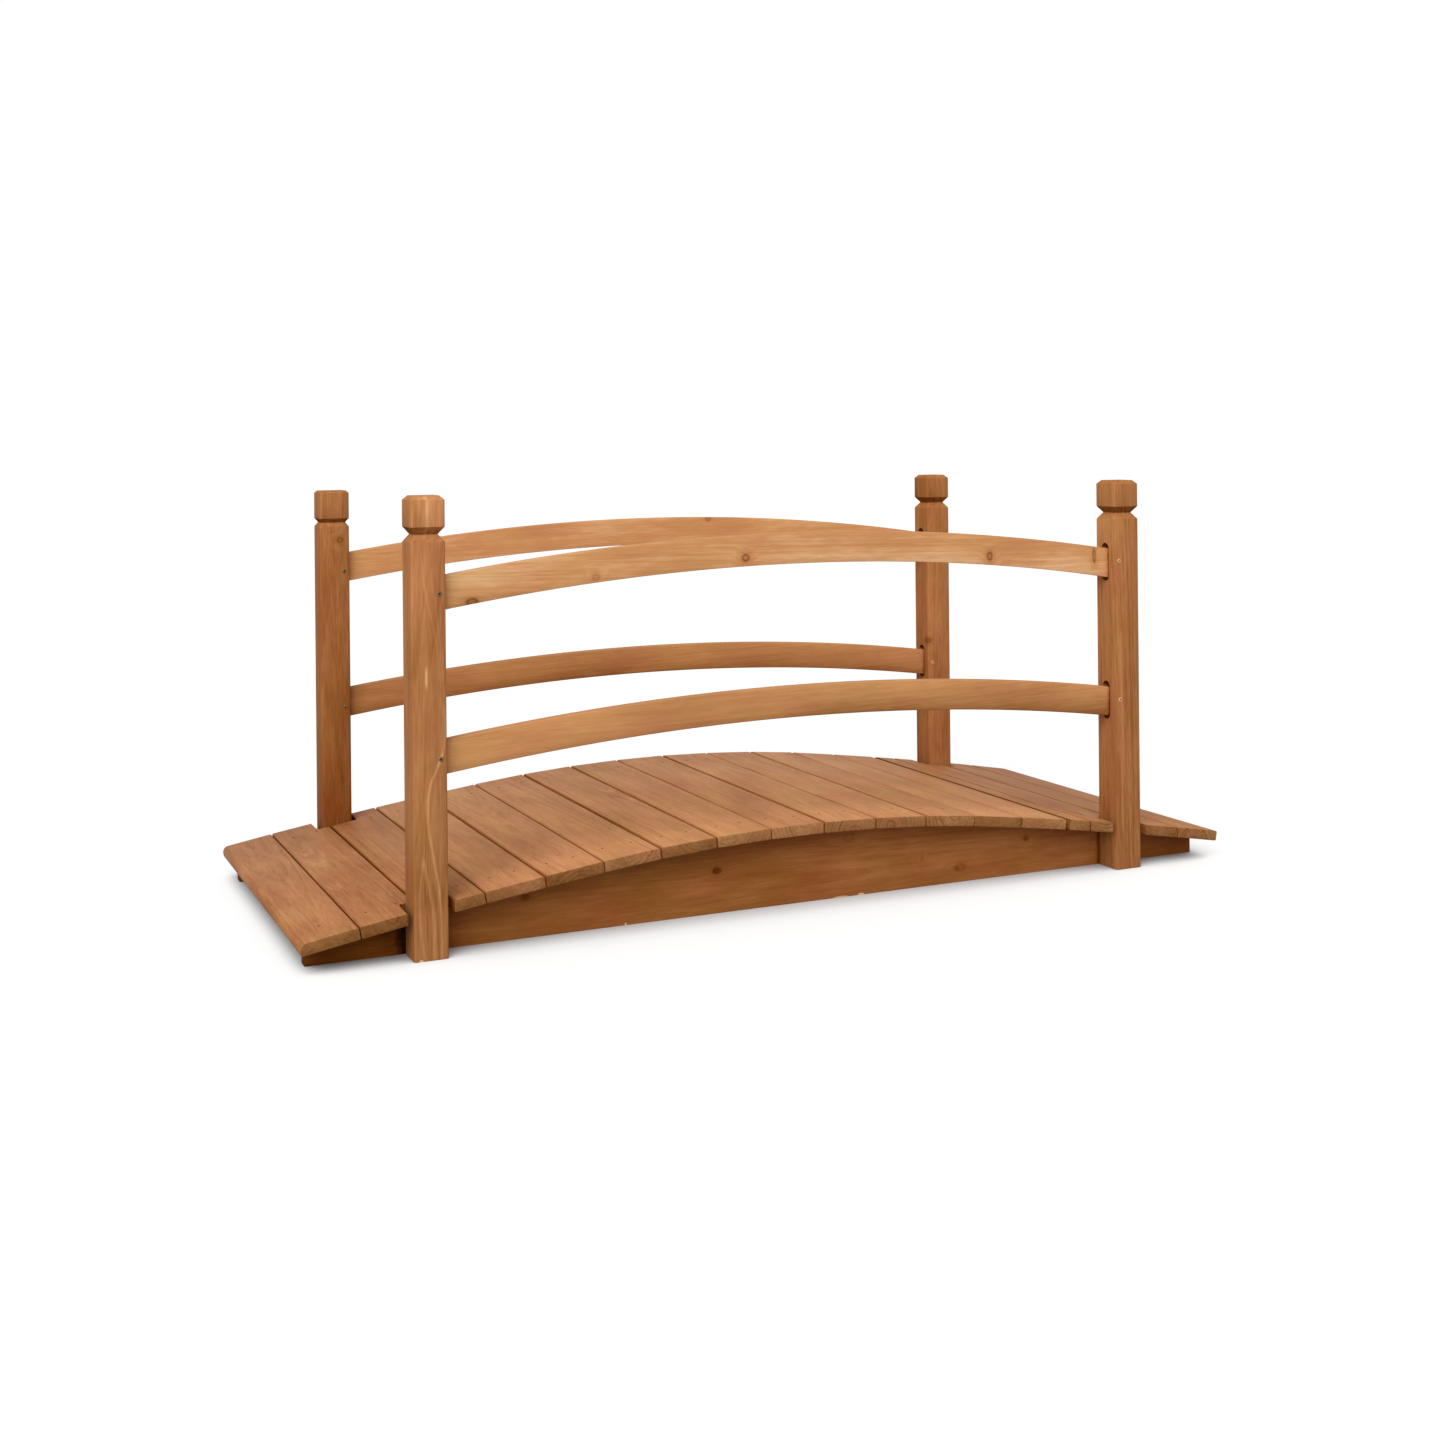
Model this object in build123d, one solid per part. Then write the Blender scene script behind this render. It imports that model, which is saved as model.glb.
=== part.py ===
from build123d import *
from math import asin, cos, degrees, sin, sqrt
import os

# Arched timber garden bridge: two stringers with a sawn arch carry crosswise planks,
# and four posts hold an upper and a lower bowed handrail on each side.
# Millimetres. X runs along the walkway, Y across it and Z up.
# The origin lies on the ground under the middle of the bridge.

# Deck planks, counted from the left end
PLANK_WIDTH = 80.0
END_PLANK_WIDTH = 74.5
STRIP_WIDTH = 40.0
PLANK_THICKNESS = 15.0
PLANK_GAP = 1.2
PLANK_EDGE_RADIUS = 1.5
DECK_WIDTH = 587.0
PLANKS_LEFT_OF_STRIP = 13
PLANKS_RIGHT_OF_STRIP = 2

# Stringers: the arched top has a tighter arc over the middle and flatter flanks
STRINGER_THICKNESS = 18.0
STRINGER_CROWN_HEIGHT = 105.0
CROWN_ARC_RADIUS = 2400.0
CROWN_ARC_HALF_LENGTH = 300.0
FLANK_ARC_RADIUS = 7850.0
DECK_OVERHANG = 12.5

# Posts, flat against the outer faces of the stringers
POST_SIDE = 45.0
POST_HEIGHT = 584.0
POST_CENTRE_X = 536.5
POST_SETBACK = 1.5
POST_EDGE_RADIUS = 3.0
CAP_HEIGHT = 39.5
CAP_CHAMFER = 5.5
GROOVE_HEIGHT = 19.0
GROOVE_DEPTH = 7.2
NECK_EDGE_RADIUS = 2.0

# The back left post is a little shorter, and the same V is cut less deep into it
SHORT_POST_HEIGHT = 578.0
SHORT_POST_CAP_HEIGHT = 42.5
SHORT_POST_CAP_CHAMFER = 3.5
SHORT_POST_GROOVE_DEPTH = 4.7

# Notches that let the posts up past the deck
NOTCH_SIDE_CLEARANCE = 7.5
NOTCH_BACK_CLEARANCE = 1.0

# Handrails: heights are of the top edge at mid-span, rises are from the posts up to there
RAIL_DEPTH = 43.0
RAIL_THICKNESS = 16.0
RAIL_EDGE_CHAMFER = 2.0
UPPER_RAIL_CROWN_HEIGHT = 521.5
UPPER_RAIL_RISE = 40.0
LOWER_RAIL_CROWN_HEIGHT = 309.0
LOWER_RAIL_RISE = 36.0

# Blind mortises: slots with round ends
MORTISE_DEPTH = 18.0
MORTISE_SIDE_CLEARANCE = 0.75
MORTISE_CORNER_CLEARANCE = 0.3

# How far cutting bodies pass the faces they cut
OVERRUN = 10.0

# Places that follow from the sizes above
DECK_EDGE_Y = DECK_WIDTH / 2
POST_INNER_Y = DECK_EDGE_Y - POST_SETBACK - POST_SIDE
POST_CENTRE_Y = POST_INNER_Y + POST_SIDE / 2
POST_INNER_X = POST_CENTRE_X - POST_SIDE / 2
MORTISE_END_X = POST_INNER_X + MORTISE_DEPTH
STRINGER_CENTRE_Y = POST_INNER_Y - STRINGER_THICKNESS / 2
PLANK_WIDTHS = (
    [END_PLANK_WIDTH]
    + [PLANK_WIDTH] * PLANKS_LEFT_OF_STRIP
    + [STRIP_WIDTH]
    + [PLANK_WIDTH] * PLANKS_RIGHT_OF_STRIP
    + [END_PLANK_WIDTH]
)
STRIP_INDEX = PLANKS_LEFT_OF_STRIP + 1
DECK_LENGTH = sum(PLANK_WIDTHS) + PLANK_GAP * (len(PLANK_WIDTHS) - 1)
SIDES = {"front": -1, "back": 1}
ENDS = {"left": -1, "right": 1}


def arch_slope(along):
    """Slope of the arched line, in radians, at a length along it from the crown."""
    on_crown = min(abs(along), CROWN_ARC_HALF_LENGTH)
    on_flank = abs(along) - on_crown
    slope = on_crown / CROWN_ARC_RADIUS + on_flank / FLANK_ARC_RADIUS
    return slope if along > 0 else -slope


def arch_point(along):
    """Point (x, z) of the stringers' arched top at a length along it from the crown."""
    slope = abs(arch_slope(along))
    shoulder = min(slope, CROWN_ARC_HALF_LENGTH / CROWN_ARC_RADIUS)
    x = CROWN_ARC_RADIUS * sin(shoulder) + FLANK_ARC_RADIUS * (sin(slope) - sin(shoulder))
    drop = CROWN_ARC_RADIUS * (1 - cos(shoulder)) + FLANK_ARC_RADIUS * (cos(shoulder) - cos(slope))
    return (x if along > 0 else -x), STRINGER_CROWN_HEIGHT - drop


def stringer(side):
    """Board on edge with a flat foot and an arched top."""
    end = DECK_LENGTH / 2 - DECK_OVERHANG
    shoulder = CROWN_ARC_HALF_LENGTH
    middle_of_flank = (end + shoulder) / 2
    left_top = arch_point(-end)
    right_top = arch_point(end)
    left_foot = (left_top[0], 0)
    right_foot = (right_top[0], 0)
    outline = [
        Line(left_foot, left_top),
        ThreePointArc(left_top, arch_point(-middle_of_flank), arch_point(-shoulder)),
        ThreePointArc(arch_point(-shoulder), arch_point(0), arch_point(shoulder)),
        ThreePointArc(arch_point(shoulder), arch_point(middle_of_flank), right_top),
        Line(right_top, right_foot),
        Line(right_foot, left_foot),
    ]
    face = Plane.XZ * make_face(outline)
    board = extrude(face, amount=STRINGER_THICKNESS / 2, both=True)
    return Pos(0, side * STRINGER_CENTRE_Y, 0) * board


def rail_arc(crown_height, rise):
    """Height of the arc's centre and radius of the rail's top edge."""
    top_radius = (POST_INNER_X**2 + rise**2) / (2 * rise)
    return crown_height - top_radius, top_radius


def on_arc(centre_height, radius, x):
    """Point (x, z) of an arc that crowns over the middle of the bridge."""
    return x, centre_height + sqrt(radius**2 - x**2)


def bowed_rail(side, crown_height, rise):
    """Handrail sawn to an arc, its ends cut upright where they meet the mortises' floors."""
    centre_height, top_radius = rail_arc(crown_height, rise)
    low_radius = top_radius - RAIL_DEPTH
    stations = (-MORTISE_END_X, 0, MORTISE_END_X)
    top = [on_arc(centre_height, top_radius, x) for x in stations]
    low = [on_arc(centre_height, low_radius, x) for x in reversed(stations)]
    outline = [
        ThreePointArc(*top),
        Line(top[-1], low[0]),
        ThreePointArc(*low),
        Line(low[-1], top[0]),
    ]
    face = Plane.XZ * make_face(outline)
    rail = extrude(face, amount=RAIL_THICKNESS / 2, both=True)
    rail = chamfer(rail.edges().filter_by(GeomType.CIRCLE), RAIL_EDGE_CHAMFER)
    return Pos(0, side * POST_CENTRE_Y, 0) * rail


def mortise(crown_height, rise):
    """Slot cutter that clears a rail's end, for a post at +X whose centre is at the origin of X and Y."""
    centre_height, top_radius = rail_arc(crown_height, rise)
    middle_x = POST_INNER_X + MORTISE_DEPTH / 2
    middle_radius = top_radius - RAIL_DEPTH / 2
    middle_height = on_arc(centre_height, middle_radius, middle_x)[1]
    slope = asin(middle_x / middle_radius)
    upright_depth = (RAIL_DEPTH + MORTISE_DEPTH * sin(slope)) / cos(slope)
    end_radius = RAIL_THICKNESS / 2 + MORTISE_SIDE_CLEARANCE
    room = end_radius - MORTISE_CORNER_CLEARANCE
    rise_at_side = sqrt(room**2 - (RAIL_THICKNESS / 2) ** 2) + RAIL_EDGE_CHAMFER
    rise_at_edge = sqrt(room**2 - (RAIL_THICKNESS / 2 - RAIL_EDGE_CHAMFER) ** 2)
    straight = upright_depth - 2 * min(rise_at_side, rise_at_edge)
    slot = SlotCenterToCenter(straight, 2 * end_radius, rotation=90)
    slot = Plane.YZ * Pos(0, middle_height) * slot
    cutter = extrude(slot, amount=MORTISE_DEPTH + OVERRUN)
    return Pos(-POST_SIDE / 2 - OVERRUN, 0, 0) * cutter


def right_post(height, cap_height, cap_chamfer, groove_depth):
    """Post of the +X end, standing on the origin of X and Y."""
    groove_height = GROOVE_HEIGHT * groove_depth / GROOVE_DEPTH
    neck_side = POST_SIDE - 2 * groove_depth
    top_side = POST_SIDE - 2 * cap_chamfer
    shoulder_height = height - cap_height - groove_height
    levels = [
        (0, POST_SIDE, POST_EDGE_RADIUS),
        (shoulder_height, POST_SIDE, POST_EDGE_RADIUS),
        (shoulder_height + groove_height / 2, neck_side, NECK_EDGE_RADIUS),
        (height - cap_height, POST_SIDE, POST_EDGE_RADIUS),
        (height - cap_chamfer, POST_SIDE, POST_EDGE_RADIUS),
        (height, top_side, NECK_EDGE_RADIUS),
    ]
    sections = [Pos(0, 0, z) * RectangleRounded(width, width, radius) for z, width, radius in levels]
    post = loft(sections, ruled=True)
    post -= mortise(UPPER_RAIL_CROWN_HEIGHT, UPPER_RAIL_RISE)
    post -= mortise(LOWER_RAIL_CROWN_HEIGHT, LOWER_RAIL_RISE)
    return post


def place_post(post, side, end):
    """The post turned so that its mortises face mid-span, at one corner of the bridge."""
    turn = 0 if end > 0 else 180
    return Pos(end * POST_CENTRE_X, side * POST_CENTRE_Y, 0) * Rot(0, 0, turn) * post


def notch_cutters():
    """Upright blocks that clear the four posts, open towards the deck's edges."""
    width = POST_SIDE + 2 * NOTCH_SIDE_CLEARANCE
    depth = DECK_EDGE_Y + OVERRUN - (POST_INNER_Y - NOTCH_BACK_CLEARANCE)
    centre_y = DECK_EDGE_Y + OVERRUN - depth / 2
    block = Box(width, depth, 2 * POST_HEIGHT)
    return [
        Pos(end * POST_CENTRE_X, side * centre_y, 0) * block
        for side in SIDES.values()
        for end in ENDS.values()
    ]


def plank(width, along, notches):
    """Flat board across the stringers, lying tangent to their arch, cut where it meets a post."""
    x, z = arch_point(along)
    section = RectangleRounded(width, PLANK_THICKNESS, PLANK_EDGE_RADIUS)
    section = Plane.XZ * Pos(0, PLANK_THICKNESS / 2) * section
    board = extrude(section, amount=DECK_WIDTH / 2, both=True)
    board = Pos(x, 0, z) * Rot(0, degrees(arch_slope(along)), 0) * board
    for notch in notches:
        board -= notch
    return board


def deck():
    """All planks from left to right, by name."""
    notches = notch_cutters()
    boards = {}
    start = -DECK_LENGTH / 2
    number = 0
    for index, width in enumerate(PLANK_WIDTHS):
        if index == STRIP_INDEX:
            name = "filler_strip"
        else:
            number += 1
            name = f"plank_{number:02d}"
        boards[name] = plank(width, start + width / 2, notches)
        start += width + PLANK_GAP
    return boards


def bridge():
    """All pieces of the bridge, by name."""
    pieces = {}
    post = right_post(POST_HEIGHT, CAP_HEIGHT, CAP_CHAMFER, GROOVE_DEPTH)
    for side_name, side in SIDES.items():
        pieces[f"{side_name}_stringer"] = stringer(side)
        pieces[f"{side_name}_upper_rail"] = bowed_rail(side, UPPER_RAIL_CROWN_HEIGHT, UPPER_RAIL_RISE)
        pieces[f"{side_name}_lower_rail"] = bowed_rail(side, LOWER_RAIL_CROWN_HEIGHT, LOWER_RAIL_RISE)
        for end_name, end in ENDS.items():
            pieces[f"{side_name}_{end_name}_post"] = place_post(post, side, end)
    short_post = right_post(
        SHORT_POST_HEIGHT, SHORT_POST_CAP_HEIGHT, SHORT_POST_CAP_CHAMFER, SHORT_POST_GROOVE_DEPTH
    )
    pieces["back_left_post"] = place_post(short_post, SIDES["back"], ENDS["left"])
    pieces.update(deck())
    return pieces


os.makedirs("parts", exist_ok=True)
for node, piece in bridge().items():
    export_step(piece, f"parts/{node}.step")
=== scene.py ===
"""Arched timber garden bridge: every board, post, rail and fixing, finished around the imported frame."""
import math
import random

import bmesh
import bpy
from bpy.props import FloatProperty, FloatVectorProperty, PointerProperty
from mathutils import Matrix, Vector


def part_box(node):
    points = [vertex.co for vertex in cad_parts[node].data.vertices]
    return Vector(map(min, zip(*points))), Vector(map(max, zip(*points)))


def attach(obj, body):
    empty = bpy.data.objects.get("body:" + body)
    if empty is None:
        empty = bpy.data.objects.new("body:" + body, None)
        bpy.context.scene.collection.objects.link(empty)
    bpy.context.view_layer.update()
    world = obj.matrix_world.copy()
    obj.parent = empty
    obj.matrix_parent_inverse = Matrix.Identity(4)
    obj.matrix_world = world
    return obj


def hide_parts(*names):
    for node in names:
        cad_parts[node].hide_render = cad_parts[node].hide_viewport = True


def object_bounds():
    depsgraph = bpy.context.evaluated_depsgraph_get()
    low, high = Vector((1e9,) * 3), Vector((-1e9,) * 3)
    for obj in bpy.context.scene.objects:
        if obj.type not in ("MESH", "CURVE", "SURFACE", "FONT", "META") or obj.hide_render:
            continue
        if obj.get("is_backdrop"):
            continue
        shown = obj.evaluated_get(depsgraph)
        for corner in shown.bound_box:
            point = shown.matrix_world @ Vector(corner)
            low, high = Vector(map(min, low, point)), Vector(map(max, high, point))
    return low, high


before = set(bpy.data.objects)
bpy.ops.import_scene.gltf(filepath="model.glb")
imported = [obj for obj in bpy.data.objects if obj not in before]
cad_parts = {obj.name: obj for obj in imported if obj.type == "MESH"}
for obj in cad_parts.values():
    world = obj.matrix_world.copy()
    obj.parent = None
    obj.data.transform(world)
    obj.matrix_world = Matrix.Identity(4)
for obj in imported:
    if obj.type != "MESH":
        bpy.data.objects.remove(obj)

bl_info = {
    "name": "Arched Garden Bridge",
    "version": (1, 0, 0),
    "blender": (4, 5, 0),
    "location": "View3D > Sidebar > Bridge",
    "description": "Models and finishes the pieces of a small arched timber bridge",
    "category": "Object",
}

CAD_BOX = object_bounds()
MM = 0.001
BODY = "root"
RIGHT = Vector((1, 0, 0))
BACK = Vector((0, 1, 0))
UP = Vector((0, 0, 1))

# Deck boards from left to right, and the open joint to the right of each but the last: its width
# in millimetres, and the painted shade on its eased edges
DECK_BOARDS = sorted(
    (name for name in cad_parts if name.startswith(("plank", "filler"))),
    key=lambda name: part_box(name)[0].x,
)
DRAWN_JOINT = 1.2
JOINTS = [
    (1.2, -0.05), (1.8, -0.09), (1.5, -0.07), (1.7, -0.15), (1.0, -0.05), (1.7, -0.19),
    (1.6, -0.13), (0.9, -0.07), (1.7, -0.22), (1.3, -0.06), (1.5, -0.18), (1.5, -0.08),
    (1.6, -0.08), (6.5, -0.36), (1.4, -0.12), (1.5, -0.16), (1.5, -0.12),
]

# How light each board came out of the stain, on the colour scale of the fir from 0, dark, to 1, pale.
# Posts, rails and stringers also have how much lighter they get over a metre of their length. Then posts
# have the painted light and shade on their left faces, how much lighter they are, and rails the painted
# light and shade over their height: how much lighter their feet are than their tops, at mid-length
# and how that grows over a metre.
PLANK_TONES = [
    0.69, 0.64, 0.64, 0.735, 0.76, 0.75, 0.74, 0.75, 0.75,
    0.79, 0.785, 0.785, 0.80, 0.79, 0.715, 0.715, 0.715, 0.70,
]
RAIL_TONES = {
    "front_upper": (0.85, -0.06, 0.03, 0.2), "front_lower": (0.785, -0.01, -0.16, -0.22),
    "back_upper": (0.84, 0.0, 0.04, 0.0), "back_lower": (0.725, 0.12, -0.16, -0.1),
}
POST_TONES = {
    "front_left": (0.668, 0.11, -0.02), "front_right": (0.64, 0.04, 0.04),
    "back_left": (0.54, 0.33, 0.0), "back_right": (0.62, -0.02, -0.02),
}
STRINGER_TONE = (0.562, 0.08)

# Painted shade on the stringers' ends, where the deck and the posts shade them: where it starts and is
# thickest, in millimetres from the middle, and its shade
STRINGER_END_PAINTED_SHADE = (500, 690, -0.18)

# Faces set lighter or darker than the rest, on the same scale. The ends of planks and stringers took more
# stain and the posts' upright edges are a little paler; the rest is painted shade: under the posts' caps,
# round the tops and bottoms of the plank ends, in the joints and notches, and on the deck's outer sides
EDGE_LIFT = 0.01
PAINTED_GROOVE_SHADE = -0.24
PLANK_END_SHADES = [
    -0.19, -0.22, -0.16, -0.22, -0.31, -0.19, -0.27, -0.19, -0.13,
    -0.25, -0.25, -0.22, -0.34, -0.22, -0.19, -0.16, -0.25, -0.18,
]
PAINTED_END_EDGE_SHADE = -0.08
PAINTED_JOINT_SHADE = -0.27
PAINTED_OUTER_SIDE_SHADE = -0.06
END_SHADE = -0.06

# Fixings in millimetres: rail screws by their distance from a post's inner face and above the rail's middle,
# nails by their line from the middle of the deck, a pair's places across a board that is wide enough,
# and how far they stray across and along it
SCREW_INSET = 8.5
SCREW_LIFTS = {"front_left": 3.5, "front_right": 6.5, "back_left": -2, "back_right": 3}
NAIL_LINE = 236
NAIL_PAIR = (-19, 19)
NAIL_PAIR_WIDTH = 78
NAIL_STRAY = (2, 3)

# Knots: the middle of each and its half sizes, in millimetres, and its darkness. Chips have no darkness,
# and the loops that a ring makes where the saw skims it have a paleness. The tall narrow marks at the ends
# of the rails' and stringers' lists are painted shade, not knots: the shadow in the corners beside the
# posts.
DECK_KNOTS = [((-661, 165, 63), (9, 13, 20), 0.10), ((-330, 60, 96), (12, 26, 20), 0.05)]
DECK_CHIPS = [
    ((170, 102, 114), (2.2, 2.2, 9)), ((155, -28, 115), (1.8, 1.8, 9)), ((451, 264, 84), (3, 2.5, 9)),
    ((168, -254, 114), (2, 2, 9)), ((-551, -182, 74), (2, 3, 9)),
]
DECK_LOOPS = [
    ((-609, 185, 56), (12, 70, 30), 0.09), ((-610, 195, 56), (6, 48, 30), 0.08),
    ((-606, 180, 57), (18, 130, 30), 0.08), ((-613, -40, 55), (10, 60, 30), 0.07),
    ((-611, -55, 55), (5, 30, 30), 0.06), ((-157, 120, 115), (10, 50, 30), 0.10),
    ((-156, 60, 115), (14, 70, 30), 0.06),
]
STRINGER_KNOTS_AND_SHADE = [
    ((-123, -247, 59), (9, 20, 7), 0.16), ((-124, -247, 59), (5, 20, 4), 0.16),
    ((-399, -247, 54), (8, 20, 6), 0.12), ((-399, -247, 54), (4, 20, 3), 0.12),
    ((83, -247, 84), (13, 20, 9), 0.06), ((203, -247, 40), (4, 20, 6), 0.05),
    ((267, -247, 21), (13, 20, 8), 0.09), ((262, -247, 20), (4, 20, 5), 0.09),
    ((382, -247, 52), (6, 20, 5), 0.13), ((382, -247, 52), (3, 20, 3), 0.14),
    # The last two marks are painted shade: the shadow in the corners where the stringers meet the posts
    ((515, -247, 50), (5, 20, 160), 0.3), ((-545, -247, 50), (30, 20, 200), 0.5),
]
STRINGER_CHIPS = [((102, -247, 0), (6, 3, 3)), ((-258, -247, 1), (1.4, 3, 3)), ((70, -247, 0), (14, 2, 2))]
RAIL_KNOTS_AND_SHADE = [
    ((-476, -278, 446), (11, 12, 8), 0.34), ((-307, -278, 471), (7, 12, 6), 0.14),
    ((-89, -278, 489), (8, 12, 7), 0.32), ((304, -278, 477), (7, 12, 9), 0.32),
    ((488, -278, 472), (4, 12, 14), 0.30), ((95, 262, 518), (7, 12, 6), 0.2),
    # The last four marks are painted shade: the shadow where the rails' ends go into the right posts
    ((516, -278, 459), (4.5, 12, 70), 0.42), ((516, -278, 250), (4.5, 12, 70), 0.42),
    ((516, 262, 459), (4.5, 12, 70), 0.36), ((516, 262, 250), (4.5, 12, 70), 0.36),
]
POST_KNOTS = [((-529, 247, 503), (7, 12, 6), 0.16), ((512, 247, 291), (10, 16, 7), 0.18)]
POST_CHIPS = [((-550, -292, 0), (3, 3, 3))]

# Streaks on the fronts of the near posts: the heights, and the places across the post, of points along each,
# its half width, all in millimetres, and how much paler it is
POST_STREAKS = {
    "front_left_post": [
        (
            [(0, 35), (57, 35), (92, 32), (114, 28), (140, 24), (164, 20), (188, 19), (217, 22), (235, 29),
             (258, 38)], 2.9, 0.17,
        ),
        ([(243, 33), (262, 39), (285, 42), (320, 41)], 3.0, 0.12),
        ([(343, 18.5), (367, 19)], 3.2, 0.27),
        ([(352, 36), (390, 33), (424, 27), (460, 19), (505, 13)], 3.0, 0.07),
        ([(330, 41), (380, 38), (430, 33), (480, 26), (520, 22)], 2.2, 0.05),
        ([(0, 15), (40, 9), (80, 7.5), (112, 11), (128, 13)], 3.2, 0.10),
        ([(0, 26), (50, 25), (90, 20), (116, 15), (128, 13)], 3.4, 0.11),
        ([(0, 20), (60, 16), (104, 13)], 2.2, -0.07), ([(0, 31), (60, 29), (100, 24)], 2.4, -0.06),
        ([(535, 22), (584, 22)], 42.0, 0.12), ([(535, 21), (584, 21)], 3.4, 0.06),
        ([(0, 22), (64, 22)], 42.0, 0.05),
    ],
    "front_right_post": [
        ([(60, 12), (110, 11), (170, 13), (230, 12), (300, 11), (360, 10)], 4.0, 0.08),
        ([(0, 27), (40, 26), (100, 25)], 1.6, 0.10), ([(100, 24), (180, 25), (300, 27)], 1.5, 0.05),
        ([(0, 36), (60, 35), (120, 35)], 1.5, 0.07), ([(320, 35), (362, 36)], 1.5, 0.09),
        ([(20, 31), (200, 31), (400, 33)], 2.0, -0.05), ([(60, 18), (180, 19), (330, 19)], 1.8, -0.05),
    ],
}


def linear(hex_colour):
    """The linear colour, with full opacity, of an sRGB hex colour."""
    channels = [int(hex_colour[start:start + 2], 16) / 255 for start in (1, 3, 5)]
    return [c / 12.92 if c <= 0.04045 else ((c + 0.055) / 1.055) ** 2.4 for c in channels] + [1.0]


def length(name, description, millimetres):
    """A length that a user may change."""
    return FloatProperty(name=name, description=description, default=millimetres * MM, unit="LENGTH")


def colour(name, description, hex_colour):
    """A colour that a user may change."""
    default = linear(hex_colour)
    return FloatVectorProperty(name=name, description=description, default=default, size=4, subtype="COLOR")


class BridgeSizes(bpy.types.PropertyGroup):
    """Sizes of the details that the frame's boxes do not give."""

    plank_edge: length("Plank edge", "Radius of a plank's long edges", 2.2)
    plank_end_edge: length("Plank end edge", "Radius of the edges round a plank's ends", 1.2)
    nose: length("Nose", "Radius of the first plank's outer edge", 9)
    notch_side: length("Notch side room", "Room between a post's side and the notch round it", 7.5)
    notch_back: length("Notch back room", "Room between a post's inner face and the notch round it", 1.0)
    stringer_edge: length("Stringer edge", "Radius of a stringer's eased edges", 1.2)
    crown_radius: length("Crown radius", "Radius of the arch over the middle of a stringer", 2400)
    crown_half: length("Crown half length", "Length of the tighter arc on each side of the crown", 300)
    flank_radius: length("Flank radius", "Radius of the flatter arch towards a stringer's ends", 7850)
    rail_depth: length("Rail depth", "Height of a rail's section", 43)
    rail_edge: length("Rail edge", "Radius of a rail's eased edges", 2.5)
    post_edge: length("Post edge", "Radius of a post's upright edges", 3)
    post_corner: length("Post corner", "Radius of a post's level edges", 0.8)
    cap_height: length("Cap height", "Height of the block above a post's groove", 39.5)
    cap_chamfer: length("Cap chamfer", "Chamfer round the top of a post", 5.5)
    groove_height: length("Groove height", "Height of the V-groove under a post's cap", 19)
    groove_depth: length("Groove depth", "Depth of the V-groove under a post's cap", 7.2)
    short_cap_height: length("Short cap height", "Cap of the back left post", 42.5)
    short_cap_chamfer: length("Short cap chamfer", "Chamfer on the back left post", 3.5)
    short_groove_depth: length("Short groove depth", "Depth of the groove on the back left post", 4.7)
    mortise_width: length("Mortise width", "Width of the slot that takes a rail's end", 17.5)
    mortise_height: length("Mortise height", "Height of the slot that takes a rail's end", 57.5)
    mortise_depth: length("Mortise depth", "Depth of the slot that takes a rail's end", 18)
    mortise_lift: length("Mortise lift", "Slot's middle above the middle of the rail's end", 4.2)
    screw_head: length("Screw head", "Diameter of the screw heads on the posts", 6.2)
    nail_head: length("Nail head", "Diameter of the nail heads on the planks", 3.4)


class BridgeColours(bpy.types.PropertyGroup):
    """Colours of the stained fir from its darkest to its palest, and of the fixings."""

    knot: colour("Knot", "Heart of a knot", "#2C1405")
    shade: colour("Shade", "Fir where the stain is thickest", "#552A0A")
    brown: colour("Brown", "Late wood of the stringers", "#7A481B")
    tan: colour("Tan", "Late wood of posts and planks", "#955E32")
    warm: colour("Warm", "Body of the planks", "#B1794B")
    light: colour("Light", "Body of the rails", "#CB905D")
    pale: colour("Pale", "Streaks that took no stain", "#E9BC8C")
    zinc: colour("Zinc", "Plating of the right posts' screws", "#E2B586")
    dull_zinc: colour("Dull zinc", "Plating of the left posts' screws, under the stain", "#846A48")
    nail: colour("Nail", "Nail heads under the stain", "#4E3520")
    floor: colour("Floor", "Studio floor", "#AAAAAA")


# A spin turns clockwise seen along its axis, so this one goes from the crown of an arch towards +X
SPIN_AXIS = (0, -1, 0)
RAIL_STEPS = 48
RAIL_CUTS = 3
CROWN_STEPS = 16
FLANK_STEPS = 10

# Facets of round pieces and edges, and the angles in degrees past which an edge is rounded or shows as sharp
MORTISE_SIDES = 48
NOSE_FACETS = 6
EDGE_FACETS = 3
FINE_FACETS = 2
EASED_ANGLE = 40
SHARP_ANGLE = 35

# Millimetres within which two points are one, and within which a point lies on a face
MERGE_DISTANCE = 0.01
FACE_ROOM = 0.1

# How much of a face's normal lies along an axis when it looks that way, is the deck's top or a groove's
# underside, or leans that way, and how much of an edge when it runs that way
FACING = 0.9
DECK_FACING = 0.8
GROOVE_FACING = 0.3
LEANING = 0.2
RUNNING = 0.99

# Screw and nail heads: sides, and shares of the radius, or for depths, sinks and domes of the height
SCREW = {
    "sides": 32, "height": 0.45, "depth": 2, "sink": 0.5, "slope": 0.25, "dome": 0.35,
    "reach": 0.64, "arm": 0.19, "edge": 0.05,
}
NAIL = {"sides": 14, "height": 0.12, "depth": 4, "sink": 1.5, "slope": 0.35, "dome": 0.7}


# Selecting and shaping

def deselect():
    """Leave nothing selected, as the loaded frame is."""
    bpy.ops.object.select_all(action="DESELECT")


def choose(piece):
    """Select one piece alone and make it the active one."""
    deselect()
    piece.select_set(True)
    bpy.context.view_layer.objects.active = piece


def edit(piece):
    """Open the mesh of one piece."""
    choose(piece)
    bpy.ops.object.mode_set(mode="EDIT")


def pick_all():
    """Select all of the open mesh."""
    bpy.ops.mesh.select_all(action="SELECT")


def close():
    """Close the mesh that is open."""
    bpy.ops.object.mode_set(mode="OBJECT")


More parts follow.
